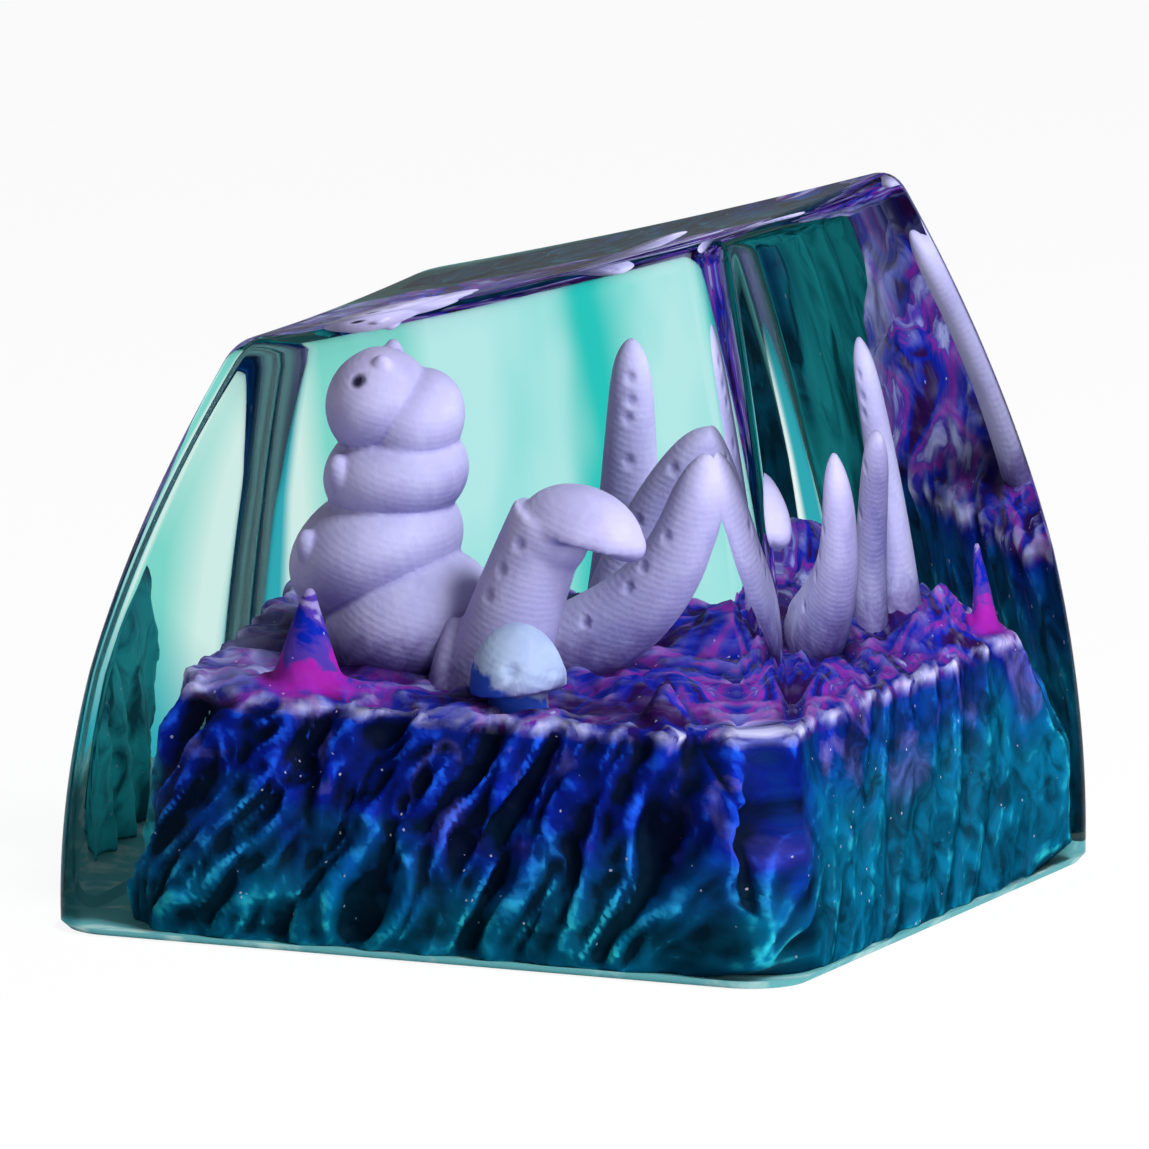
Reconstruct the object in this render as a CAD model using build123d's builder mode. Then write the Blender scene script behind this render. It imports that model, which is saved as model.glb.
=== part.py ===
"""Resin key cap for one switch: a clear barrel-sided block cast around a painted rock scene.

Millimetres. +Z up, +Y towards the tall back of the cap, origin at the middle of the bottom rim.
"""

import os
from math import cos, exp, pi, radians, sin, sqrt

from build123d import *

# Clear block
base_width = 18.2
front_height = 12.95
back_height = 16.2
front_inset = 2.85
back_inset = 3.35
side_inset = 3.65
wall_curve = 1.92
base_corner = 1.5
top_corner = 0.8
dish_radius = 150.0
dish_depth = 0.25
rim_round = 0.45
block_sections = 4

# Rock flanks
resin_skirt = 1.25
rim_setback = 0.95
ground_height = 5.25
ridge_count = 34
ridge_depth = 0.32
ridge_unevenness = 0.5
ridge_lean = radians(18)
ridge_bend = 0.5
rock_squareness = 8.0
rock_levels = 4
half_base = base_width / 2 - resin_skirt
half_rim = half_base - rim_setback

# Ground: swirls, their distance apart and how they bend, then rounded mounds as place, rise and reach
# Places on the ground are shares of half_rim, along X and Y
ground_swirl = 0.14
swirl_pitch = 1.9
swirl_bend = 0.9
bend_pitch = 5.5
ground_rings = 7
mounds = [
    ((-0.56, 0.66), 1.3, 1.1),
    ((0.36, 0.62), 0.5, 1.0),
    ((0.80, -0.53), 0.4, 1.0),
    ((-0.66, -0.66), 0.7, 1.1),
]

# Spires that belong to the rock: place, height over the ground, foot radius
spires = [
    ((0.80, -0.53), 2.25, 1.1),
    ((-0.82, 0.82), 2.0, 0.75),
    ((0.80, 0.74), 0.8, 0.9),
]
spire_tip = 0.12
spire_sink = 0.5

# Switch pocket and stem post
rock_wall = 0.95
pocket_depth = 4.3
pocket_corner = 1.5
pocket_draft = 7.0
post_diameter = 5.5
post_recess = 0.5
cross_length = 4.1
cross_width_x = 1.35
cross_width_y = 1.15
cross_depth = 3.6
pocket_width = base_width - 2 * (resin_skirt + rock_wall)

# Rearing grub: its rolls from the seat up, as share of the height to the head's middle, and radius
grub_place = (0.16, -0.435)
grub_cover = 1.65
grub_lean = -6.0
rolls = [(0.10, 2.3), (0.33, 2.25), (0.55, 1.9), (0.75, 1.65), (0.92, 1.4)]
crease = 0.28
head_radius = 1.35
head_forward = 0.4
eye_radius = 0.24
eye_place = (0.6, -0.72, 0.25)
nub_radius = 0.28
nub_place = (0.4, 0, 0.9)

# Toadstool with a tilted hood, and the small button cap beside it
toadstool_place = (0.435, 0.03)
toadstool_cover = 5.9
stalk_foot_radius = 1.1
stalk_neck_radius = 0.85
stalk_lean = -17.0
hood_radius = 1.65
hood_height = 1.3
hood_hollow = 0.4
hood_tilt = 10.0
hood_overhang = 0.85
button_place = (0.755, 0.21)
button_radius = 1.1
button_height = 1.1
button_stalk_radius = 0.5
button_stalk_height = 0.75

# Feelers: foot place, tip place, resin over the tip, foot radius, how far the middle bows back and down
feelers = {
    "tall_tentacle": ((-0.667, 0.12), (-0.667, 0.203), 3.95, 0.9, 0.05),
    "bent_tentacle": ((-0.435, 0.29), (-0.39, 0.507), 5.6, 0.75, -0.4),
    "thick_tentacle": ((-0.03, 0.20), (0.03, 0.638), 5.8, 1.1, 0.15),
}
feeler_thinning = 0.4
feeler_tip = 0.04
feeler_sink = 0.9
feeler_stations = 9


def spot(place):
    """A place on the ground in millimetres."""
    return half_rim * place[0], half_rim * place[1]


def block_section(share):
    """Plane, width, depth and corner radius of the block at a share of its height, from 0 to 1."""
    half = base_width / 2
    lean = share**wall_curve
    front = Vector(0, front_inset * lean - half, front_height * share)
    back = Vector(0, half - back_inset * lean, back_height * share)
    along = back - front
    plane = Plane((front + back) / 2, x_dir=(1, 0, 0), z_dir=Vector(1, 0, 0).cross(along))
    width = base_width - 2 * side_inset * lean
    return plane, width, along.length, base_corner + (top_corner - base_corner) * share


top_plane = block_section(1)[0]
dish_centre = top_plane.offset(dish_radius - dish_depth).origin


def top_at(x, y):
    """Height of the dished top."""
    return dish_centre.Z - sqrt(dish_radius**2 - (x - dish_centre.X) ** 2 - (y - dish_centre.Y) ** 2)


def flank_ring(level):
    """Points round the rock's ridged, rounded-square flank at a level, from the foot at 0 up to rock_levels."""
    share = level / rock_levels
    half = half_base - rim_setback * share**2
    ring = []
    for step in range(2 * ridge_count):
        turn = pi * step / ridge_count + ridge_lean * share
        square = abs(cos(turn)) ** rock_squareness + abs(sin(turn)) ** rock_squareness
        groove = ridge_depth * (step % 2) * (1 + ridge_unevenness * sin(step + ridge_bend * level))
        reach = half * square ** (-1 / rock_squareness) - groove
        ring.append(Vector(reach * cos(turn), reach * sin(turn), ground_height * share))
    return ring


def ground_at(x, y):
    """Height of the ground: bent swirls and the mounds."""
    swirl = sin(2 * pi * (x + swirl_bend * sin(2 * pi * y / bend_pitch)) / swirl_pitch)
    height = ground_height + ground_swirl * swirl
    for place, rise, reach in mounds:
        middle_x, middle_y = spot(place)
        height += rise * exp(-((x - middle_x) ** 2 + (y - middle_y) ** 2) / reach**2)
    return height


def rock_skin():
    """Flat facets over the flank from the foot up, then over the ground from the rim in to the middle."""
    rings = [flank_ring(level) for level in range(rock_levels + 1)]
    for step in range(1, ground_rings):
        share = 1 - step / ground_rings
        inner = [point * share for point in rings[rock_levels]]
        rings.append([Vector(point.X, point.Y, ground_at(point.X, point.Y)) for point in inner])
    facets = [Face(Wire.make_polygon(rings[0]))]
    for lower, upper in zip(rings, rings[1:]):
        for index in range(len(lower)):
            after = (index + 1) % len(lower)
            facets.append(Face(Wire.make_polygon([lower[index], lower[after], upper[after]])))
            facets.append(Face(Wire.make_polygon([lower[index], upper[after], upper[index]])))
    middle = Vector(0, 0, ground_at(0, 0))
    for index in range(len(rings[-1])):
        after = (index + 1) % len(rings[-1])
        facets.append(Face(Wire.make_polygon([rings[-1][index], rings[-1][after], middle])))
    return Solid(Shell(facets))


def turning_plane(middle, tilt=0):
    """A sketch plane along Y and Z, tilted about X, for a profile turned about the plane's own Y."""
    return Plane(middle, x_dir=Vector(0, 1, 0).rotate(Axis.X, tilt), z_dir=(1, 0, 0))


# Outer form of the clear block: stacked sections whose walls lean in like arcs, then the dished top
with BuildPart() as block:
    for step in range(block_sections + 1):
        plane, width, depth, corner = block_section(step / block_sections)
        with BuildSketch(plane):
            RectangleRounded(width, depth, corner)
    loft()
    with Locations(dish_centre):
        Sphere(dish_radius, mode=Mode.SUBTRACT)
    dish = block.faces().sort_by(Axis.Z)[-1]
    fillet(dish.edges(), rim_round)

# Solid form of the rock, before its pocket: ridged flanks and swirled ground, then the spires
with BuildPart() as rock_form:
    add(rock_skin())
    for place, height, foot in spires:
        with Locations((*spot(place), ground_height - spire_sink)):
            Cone(foot, spire_tip, height + spire_sink, align=(Align.CENTER, Align.CENTER, Align.MIN))

# The rock as cast: the switch pocket is drawn out of it, and the stem post with its cross socket stands in it
with BuildPart() as rock_base:
    add(rock_form.part)
    with BuildSketch():
        RectangleRounded(pocket_width, pocket_width, pocket_corner)
    extrude(amount=pocket_depth, taper=pocket_draft, mode=Mode.SUBTRACT)
    with BuildSketch(Plane.XY.offset(post_recess)):
        Circle(post_diameter / 2)
    extrude(amount=pocket_depth - post_recess)
    with BuildSketch(Plane.XY.offset(post_recess)):
        Rectangle(cross_length, cross_width_x)
        Rectangle(cross_width_y, cross_length)
    extrude(amount=cross_depth, mode=Mode.SUBTRACT)

# Grub: a turned stack of rolls and a plain head with eyes and nubs, as high as the resin over it allows
seat = Vector(*spot(grub_place), ground_height)
head_top = top_at(seat.X, seat.Y) - grub_cover
head = Vector(seat.X, seat.Y - head_forward, head_top - head_radius)
body_plane = turning_plane(seat, grub_lean)
rise = head.Z - ground_height
levels = [share * rise for share, radius in rolls]
with BuildPart() as grub:
    with BuildSketch(body_plane):
        with BuildLine():
            foot = -levels[0]
            inner = rolls[0][1] - crease
            Polyline((0, levels[-1] + crease), (0, foot), (inner, foot))
            for index, level in enumerate(levels):
                start = (inner, foot)
                bulge = (rolls[index][1], level)
                if index + 1 < len(rolls):
                    foot = (level + levels[index + 1]) / 2
                    inner = rolls[index + 1][1] - crease
                else:
                    foot = level + crease
                    inner = 0
                ThreePointArc(start, bulge, (inner, foot))
        make_face()
    revolve(axis=Axis(body_plane.origin, body_plane.y_dir))
    with Locations(head):
        Sphere(head_radius)
    for side in (-1, 1):
        for place, radius in ((eye_place, eye_radius), (nub_place, nub_radius)):
            with Locations(head + Vector(side * place[0], place[1], place[2]) * head_radius):
                Sphere(radius)
    add(rock_form.part, mode=Mode.SUBTRACT)

# Toadstool: a thick leaning stalk under a tilted hood
stalk_plane = turning_plane((*spot(toadstool_place), ground_height), stalk_lean)
toadstool_height = top_at(*spot(toadstool_place)) - toadstool_cover - ground_height
neck = stalk_plane.origin + stalk_plane.y_dir * toadstool_height
hood_plane = turning_plane(neck + Vector(0, hood_overhang, 0), hood_tilt)
with BuildPart() as tall_mushroom:
    with BuildSketch(stalk_plane):
        with BuildLine():
            Polyline(
                (0, -stalk_foot_radius),
                (stalk_foot_radius, -stalk_foot_radius),
                (stalk_neck_radius, toadstool_height + hood_height / 2),
                (0, toadstool_height + hood_height / 2),
                close=True,
            )
        make_face()
    revolve(axis=Axis(stalk_plane.origin, stalk_plane.y_dir))
    with BuildSketch(hood_plane):
        with BuildLine():
            Polyline((0, hood_height), (0, hood_hollow), (hood_radius, 0))
            hood_sphere = (hood_radius**2 + hood_height**2) / (2 * hood_height)
            RadiusArc((hood_radius, 0), (0, hood_height), -hood_sphere)
        make_face()
    revolve(axis=Axis(hood_plane.origin, hood_plane.y_dir))
    add(rock_form.part, mode=Mode.SUBTRACT)

# Button mushroom: a domed cap on a short stalk
button_plane = turning_plane((*spot(button_place), ground_height))
with BuildPart() as button_mushroom:
    with BuildSketch(button_plane):
        with BuildLine():
            Polyline(
                (button_radius, button_stalk_height),
                (button_stalk_radius, button_stalk_height),
                (button_stalk_radius, -button_stalk_height),
                (0, -button_stalk_height),
                (0, button_stalk_height + button_height),
            )
            button_sphere = (button_radius**2 + button_height**2) / (2 * button_height)
            button_top = (0, button_stalk_height + button_height)
            RadiusArc((button_radius, button_stalk_height), button_top, -button_sphere)
        make_face()
    revolve(axis=Axis(button_plane.origin, button_plane.y_dir))
    add(rock_form.part, mode=Mode.SUBTRACT)


def feeler(foot_place, tip_place, cover, foot_radius, bow):
    """A round horn from the ground to its tip, bowed in the middle and thinning to a blunt end."""
    foot = Vector(*spot(foot_place), ground_height - feeler_sink)
    tip = Vector(*spot(tip_place), top_at(*spot(tip_place)) - cover)
    across = Vector(tip.X - foot.X, tip.Y - foot.Y, 0).normalized()
    middle = (foot + tip) / 2 + (across - Vector(0, 0, 1)) * bow
    with BuildPart() as horn:
        with BuildLine(mode=Mode.PRIVATE) as centre:
            Spline(foot, middle, tip)
        for station in range(feeler_stations):
            share = sin(pi / 2 * station / (feeler_stations - 1))
            radius = foot_radius * (1 - feeler_thinning * share) * sqrt(1 - (1 - feeler_tip) * share**8)
            with BuildSketch(Plane(centre.line @ share, z_dir=centre.line % share)):
                Circle(radius)
        loft(ruled=True)
        add(rock_form.part, mode=Mode.SUBTRACT)
    return horn.part


pieces = {
    "rock_base": rock_base.part,
    "grub": grub.part,
    "tall_mushroom": tall_mushroom.part,
    "button_mushroom": button_mushroom.part,
}
for name, form in feelers.items():
    pieces[name] = feeler(*form)

# Clear block as cast: it fills all the room between its walls and the scene
with BuildPart() as clear_cap:
    add(block.part)
    add(rock_form.part, mode=Mode.SUBTRACT)
    for name, piece in pieces.items():
        if name != "rock_base":
            add(piece, mode=Mode.SUBTRACT)
pieces["clear_cap"] = clear_cap.part

os.makedirs("parts", exist_ok=True)
for name, piece in pieces.items():
    piece.label = name
    export_step(piece, f"parts/{name}.step")
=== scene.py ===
"""Resin key cap: a clear block cast around a painted rock, a grub, mushrooms and feelers.

Laid out as an add-on. Run as a script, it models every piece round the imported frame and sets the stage.
Sizes in the settings are millimetres; Blender's own units are metres.
"""

from functools import partial
from math import copysign, cos, pi, radians, sin, sqrt

import bmesh
import bpy
from bpy.props import FloatProperty, FloatVectorProperty, IntProperty, PointerProperty, StringProperty
from mathutils import Matrix, Vector, noise


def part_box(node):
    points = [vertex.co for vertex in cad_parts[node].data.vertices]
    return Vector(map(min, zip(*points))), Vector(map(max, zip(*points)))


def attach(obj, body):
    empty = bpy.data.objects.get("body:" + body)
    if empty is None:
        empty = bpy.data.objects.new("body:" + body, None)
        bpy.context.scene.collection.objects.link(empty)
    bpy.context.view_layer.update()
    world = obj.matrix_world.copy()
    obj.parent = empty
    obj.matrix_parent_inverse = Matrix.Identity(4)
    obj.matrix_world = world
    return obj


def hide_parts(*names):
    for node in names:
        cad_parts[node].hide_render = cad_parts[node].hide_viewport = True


bl_info = {
    "name": "Resin key cap",
    "version": (1, 0, 0),
    "blender": (4, 5, 0),
    "location": "View3D > Sidebar > Key cap",
    "description": "Models a clear cast key cap with a painted scene inside",
    "category": "Object",
}

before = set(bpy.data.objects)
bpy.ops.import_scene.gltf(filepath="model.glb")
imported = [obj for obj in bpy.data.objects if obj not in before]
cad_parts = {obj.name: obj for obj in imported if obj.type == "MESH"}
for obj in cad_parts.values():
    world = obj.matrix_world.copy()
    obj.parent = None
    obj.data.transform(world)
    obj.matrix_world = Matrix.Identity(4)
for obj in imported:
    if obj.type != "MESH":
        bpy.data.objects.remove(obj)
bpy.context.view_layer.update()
MM = 0.001
BODY = "root"

# Height of the rock's ground in the solid, before its swirls and mounds
GROUND = 5.25

block_low, block_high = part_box("clear_cap")
grub_low, grub_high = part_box("grub")
toadstool_low, toadstool_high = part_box("tall_mushroom")
button_low, button_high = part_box("button_mushroom")


def size(name, default, description):
    """A length in millimetres as a property."""
    return FloatProperty(name=name, default=default, description=description, precision=3)


def share(name, default, description):
    """A plain number as a property."""
    return FloatProperty(name=name, default=default, description=description)


def paint(name, default, description):
    """A colour as a property, written as sRGB hex."""
    return StringProperty(name=name, default=default, description=description)


def angle(name, degrees, description):
    """An angle as a property."""
    return FloatProperty(name=name, default=radians(degrees), description=description, subtype="ANGLE")


class ResinSettings(bpy.types.PropertyGroup):
    """Outer form and tint of the clear block."""

    base_width: size("Base width", (block_high.x - block_low.x) / MM, "Width at the bottom rim")
    front_height: size("Front height", 12.83, "Height of the front wall")
    back_height: size("Back height", 16.07, "Height of the back wall")
    front_inset: size("Front inset", 2.85, "How far the front wall leans in")
    back_inset: size("Back inset", 3.35, "How far the back wall leans in")
    side_inset: size("Side inset", 3.65, "How far each side wall leans in")
    wall_curve: share("Wall curve", 1.92, "How late the walls start to lean")
    base_corner: size("Base corner", 1.5, "Corner radius at the bottom rim")
    top_corner: size("Top corner", 0.8, "Corner radius at the top rim")
    dish_radius: size("Dish radius", 150.0, "Radius of the dished top")
    dish_depth: size("Dish depth", 0.1, "Depth of the dish at its middle")
    rim_round: size("Rim round", 0.5, "How far the round of the top rim reaches")
    foot_chamfer: size("Foot chamfer", 0.18, "Sanded chamfer at the bottom rim")
    core_half_foot: size("Core half width, foot", 7.05, "Half width of the hollow in the rock at its foot")
    core_half_top: size("Core half width, top", 6.3, "Half width of the hollow in the rock at its top")
    core_height: size("Core height", 4.75, "Height of the hollow in the rock")
    core_corner: size("Core corner", 1.15, "Corner radius of the hollow in the rock")
    straight_steps: IntProperty(name="Straight steps", default=40, description="Steps along a straight side")
    corner_steps: IntProperty(name="Corner steps", default=16, description="Steps round a corner")
    wall_steps: IntProperty(name="Wall steps", default=44, description="Steps up a wall")
    tint: paint("Tint", "#B4F0EA", "Colour that thick resin turns light to")
    tint_density: share("Tint density", 16.0, "How fast the tint builds up, per metre")
    mist: paint("Mist", "#BFEDED", "Thin dye on the far wall")
    mist_deep: paint("Deep mist", "#93E2DE", "Thicker dye on the far wall")
    mist_streak: paint("Mist streak", "#2CC8C0", "Run of dye on the far wall")
    mist_side: paint("Mist beside the front", "#86DACF", "Dye on the far wall, next to the front corner")
    mist_front: paint("Mist at the front", "#DDF1EC", "Dye in the far front corner")
    pool: paint("Pool", "#35ACBA", "Dye that pooled in the far corner and low on the far walls")
    foot: paint("Foot", "#62A8AE", "Sanded underside")
    foot_pale: paint("Pale foot", "#B0D0CF", "Scuffs on the sanded underside")


class RockSettings(bpy.types.PropertyGroup):
    """Sculpting and paint of the rock."""

    voxel: size("Voxel", 0.12, "Edge of the sculpting grid")
    root_spacing: size("Root spacing", 1.15, "Distance between the root-like ridges")
    root_length: size("Root length", 4.0, "Length of a ridge before it changes")
    root_depth: size("Root depth", 0.42, "Depth of the grooves between ridges")
    root_slant: share("Root slant", 0.5, "Sideways run of a ridge per height")
    root_warp: size("Root warp", 0.8, "How far a ridge wanders sideways")
    warp_length: size("Warp length", 2.4, "Distance over which a ridge wanders")
    smooth_from: size("Smooth from", 6.2, "X below which the flanks are smoother and more teal")
    smooth_fade: size("Smooth fade", 0.8, "Distance over which the flanks turn smoother")
    smoothing: share("Smoothing", 0.65, "Share of the relief that the smoother flanks lack")
    corner_fill: size("Corner fill", 1.05, "How far the back corners are drawn out along X and Y")
    pitting: size("Pitting", 0.06, "Height of the small lumps")
    pit_length: size("Pit length", 0.6, "Distance between the small lumps")
    ground_swirl: size("Ground swirl", 0.14, "Height of the swirls on the ground")
    swirl_length: size("Swirl length", 1.3, "Distance between the swirls")
    swirl_bend: share("Swirl bend", 1.1, "How strongly the swirls bend, in swirl lengths")
    bend_length: size("Bend length", 1.9, "Distance between the bends of the swirls")
    # Thin bright edges on the upper ridges: painted highlight
    edge_highlight_blue: paint("Edge blue", "#1C5BE0", "Thin bright edges on the upper flank")
    blue: paint("Blue", "#061F9E", "Ridges on the upper flank")
    # Near black grooves on the upper flank: a wash with painted shade
    groove_wash_and_shade_blue: paint("Hollow blue", "#010922", "Between the ridges on the upper flank")
    # Painted highlight on the ridges at the foot, and painted light on the front flank
    edge_highlight_teal: paint("Edge teal", "#2FC0CC", "Thin bright edges at the foot of the flank")
    teal: paint("Teal", "#02709A", "Ridges at the foot of the flank")
    # Dark grooves at the foot of the flank: a wash with painted shade
    groove_wash_and_shade_teal: paint("Hollow teal", "#012030", "Between the ridges at the foot of the flank")
    mauve: paint("Mauve", "#8F80B8", "Dry brushed patches on the flank")
    frost: paint("Frost", "#D9D3F0", "Dry brushed rim and glitter")
    # Plum is also the painted shade round the figures' feet
    plum: paint("Plum", "#2A0B45", "Deep paint on the ground")
    magenta: paint("Magenta", "#9C1C9C", "Bright paint on the ground")
    violet: paint("Violet", "#4A3199", "Paint on the ground")
    # Lilac is also partly painted highlight on the raised swirls of the ground
    lilac: paint("Lilac", "#A9A2DC", "Pale brush lines on the ground")


class FigureSettings(bpy.types.PropertyGroup):
    """Forms and paint of the figures."""

    voxel: size("Voxel", 0.06, "Edge of the sculpting grid")
    lavender: paint("Lavender", "#BBB0DE", "Paint of the figures")
    light: paint("Light", "#ECE9F7", "Dry brushed high spots")
    # Painted shade in the folds and on the undersides
    shadow: paint("Shadow", "#4C4298", "Wash in the folds")
    # Ground paint up the feet, partly painted contact shade
    splash: paint("Splash", "#4A2A7C", "Ground paint that ran up the figures' feet")
    bead: paint("Bead", "#1A1030", "Paint of the grub's eyes")
    layer: size("Layer", 0.14, "Spacing of the print layers, drawn coarse so that they show")
    pale: paint("Pale", "#A9B8DC", "Paint of the button cap")
    button_blue: paint("Button blue", "#1C3FA6", "Paint under the button cap")


class StageSettings(bpy.types.PropertyGroup):
    """Camera, light and floor."""

    azimuth: angle("Azimuth", 113.8, "Camera direction round Z, from -Y")
    elevation: angle("Elevation", 10.38, "Camera direction over the floor")
    distance: size("Distance", 800.0, "Camera distance")
    image_pixels: share("Image", 1149.0, "Side of the photo in pixels")
    pixels_per_mm: share("Scale", 44.46, "Pixels of the photo per millimetre")
    base_pixel: FloatVectorProperty(
        name="Base pixel",
        size=2,
        default=(575.6, 892.2),
        description="Where the photo shows the bottom's middle",
    )
    floor: paint("Floor", "#FFFFFF", "Colour of the floor and backdrop")
    sky: share("Sky", 0.15, "Strength of the even light from all round")
    key: share("Key", 0.85, "Power of the key light in watts")
    fill: share("Fill", 0.36, "Power of the fill light in watts")
    floor_white: share("Floor white", 0.9, "Share of even white in the floor; the rest shows the shadow")


def fade(value, start, end):
    """0 up to the start, 1 from the end on, and a straight run between; the end may lie below the start."""
    return min(1.0, max(0.0, (value - start) / (end - start)))


def linear(colour):
    """A linear colour with alpha from an sRGB hex string."""
    parts = [int(colour[i : i + 2], 16) / 255 for i in (1, 3, 5)]
    return (*[c / 12.92 if c <= 0.04045 else ((c + 0.055) / 1.055) ** 2.4 for c in parts], 1.0)


def node(tree, kind, inputs=None, out=0, **settings):
    """Adds a shader node with its settings and its inputs' values or links, and returns one output."""
    made = tree.nodes.new("ShaderNode" + kind)
    for key, value in settings.items():
        setattr(made, key, value)
    for socket, value in (inputs or {}).items():
        if isinstance(value, bpy.types.NodeSocket):
            tree.links.new(value, made.inputs[socket])
        else:
            made.inputs[socket].default_value = value
    return made.outputs[out] if made.outputs else None


def blank_material(name):
    """A new material with an empty node tree, and the function that adds a node to it."""
    material = bpy.data.materials.new(name)
    material.use_nodes = True
    material.node_tree.nodes.clear()
    return material, partial(node, material.node_tree)


def pick(obj):
    """Deselects all and makes one object the active, selected one."""
    bpy.ops.object.select_all(action="DESELECT")
    obj.select_set(True)
    bpy.context.view_layer.objects.active = obj


def settle(obj, name, material, slot, *nodes):
    """Names a finished piece, puts its place in its mesh, gives it its material, hangs it on the body and
    hides the solids that it stands for.
    """
    pick(obj)
    bpy.ops.object.transform_apply(location=True, rotation=True, scale=True)
    bpy.ops.object.shade_smooth()
    obj.name = obj.data.name = name
    obj.data.materials.clear()
    obj.data.materials.append(material)
    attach(obj, BODY)
    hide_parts(*nodes)


def relax(obj, rounds):
    """Smooths an object's skin."""
    soft = obj.modifiers.new("relax", "SMOOTH")
    soft.iterations = rounds
    soft.factor = 0.5
    bpy.ops.object.modifier_apply(modifier="relax")


def remesh(obj, voxel, rounds):
    """Welds what overlaps in an object into one skin of even facets, then relaxes it."""
    pick(obj)
    weld = obj.modifiers.new("weld", "REMESH")
    weld.mode = "VOXEL"
    weld.voxel_size = voxel * MM
    bpy.ops.object.modifier_apply(modifier="weld")
    relax(obj, rounds)


def marks(obj, *names):
    """Adds numbers kept for the paint at each point of an object's skin, and returns them by name."""
    for name in names:
        obj.data.attributes.new(name, "FLOAT", "POINT")
    return [obj.data.attributes[name].data for name in names]


def keep_relief(obj, name, rounds, depth):
    """Keeps for the paint how far each point stands out of the smoothed skin: 0 in a groove, 1 on a crest."""
    pick(obj)
    bpy.ops.object.duplicate()
    smooth = bpy.context.object
    relax(smooth, rounds)
    (kept,) = marks(obj, name)
    for vert, level in zip(obj.data.vertices, smooth.data.vertices):
        kept[vert.index].value = 0.5 + (vert.co - level.co).dot(vert.normal) / (2 * depth * MM)
    pick(smooth)
    bpy.ops.object.delete()


def joined(objects):
    """Joins objects into the first."""
    pick(objects[0])
    for obj in objects:
        obj.select_set(True)
    bpy.ops.object.join()
    return objects[0]


def ball(place, radii, tilt=0.0):
    """A ball squashed to three radii, tilted about X."""
    bpy.ops.mesh.primitive_uv_sphere_add(segments=48, ring_count=24, radius=MM)
    made = bpy.context.object
    made.scale = radii
    made.rotation_euler.x = radians(tilt)
    made.location = Vector(place) * MM
    bpy.ops.object.transform_apply(location=True, rotation=True, scale=True)
    return made


def dome(place, radii, tilt):
    """The upper half of a squashed ball, closed below and tilted about X."""
    cap = ball((0, 0, 0), radii)
    bpy.ops.object.mode_set(mode="EDIT")
    bpy.ops.mesh.select_all(action="SELECT")
    bpy.ops.mesh.bisect(plane_co=(0, 0, -0.02 * MM), plane_no=(0, 0, 1), use_fill=True, clear_inner=True)
    bpy.ops.object.mode_set(mode="OBJECT")
    cap.rotation_euler.x = radians(tilt)
    cap.location = Vector(place) * MM
    bpy.ops.object.transform_apply(location=True, rotation=True, scale=True)
    return cap


def tube(points, radii):
    """A round tube along points, with a radius at each."""
    bpy.ops.curve.primitive_nurbs_path_add()
    path = bpy.context.object
    path.data.splines.clear()
    spline = path.data.splines.new("NURBS")
    spline.points.add(len(points) - 1)
    for made, point, radius in zip(spline.points, points, radii):
        made.co = (*(Vector(point) * MM), 1)
        made.radius = radius
    spline.order_u = min(4, len(points))
    spline.use_endpoint_u = True
    spline.resolution_u = 16
    path.data.bevel_depth = MM
    path.data.bevel_resolution = 10
    path.data.use_fill_caps = True
    bpy.ops.object.convert(target="MESH")
    return bpy.context.object


def outline(step, half_x, half_y, corner, settings):
    """A point of a rounded rectangle, by its step round it."""
    straight, turn = settings.straight_steps, settings.corner_steps
    side, along = divmod(step, straight + turn)
    reach = (half_x, half_y) if side % 2 == 0 else (half_y, half_x)
    if along < straight:
        point = Vector((reach[0], (reach[1] - corner) * (2 * along / straight - 1)))
    else:
        angle = pi / 2 * (along - straight) / turn
        point = Vector((reach[0] - corner + corner * cos(angle), reach[1] - corner + corner * sin(angle)))
    return Matrix.Rotation(side * pi / 2, 2) @ point


def wall_point(step, rise, inset, s):
    """A point of the block's wall at a share of its height, moved in from the wall by an inset."""
    lean = rise**s.wall_curve
    front = Vector((0, s.front_inset * lean - s.base_width / 2, s.front_height * rise))
    back = Vector((0, s.base_width / 2 - s.back_inset * lean, s.back_height * rise))
    along = (back - front).normalized()
    half_y = (back - front).length / 2 - inset
    half_x = s.base_width / 2 - s.side_inset * lean - inset
    corner = s.base_corner + (s.top_corner - s.base_corner) * min(1.0, rise / 0.45) - inset
    x, y = outline(step, half_x, half_y, corner, s)
    return (front + back) / 2 + Vector((x, 0, 0)) + along * y


def dish_height(x, y, s):
    """Height of the dished top."""
    front = Vector((0, s.front_inset - s.base_width / 2, s.front_height))
    back = Vector((0, s.base_width / 2 - s.back_inset, s.back_height))
    along = (back - front).normalized()
    centre = (front + back) / 2 + Vector((1, 0, 0)).cross(along) * (s.dish_radius - s.dish_depth)
    return centre.z - sqrt(s.dish_radius**2 - (x - centre.x) ** 2 - (y - centre.y) ** 2)


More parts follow.
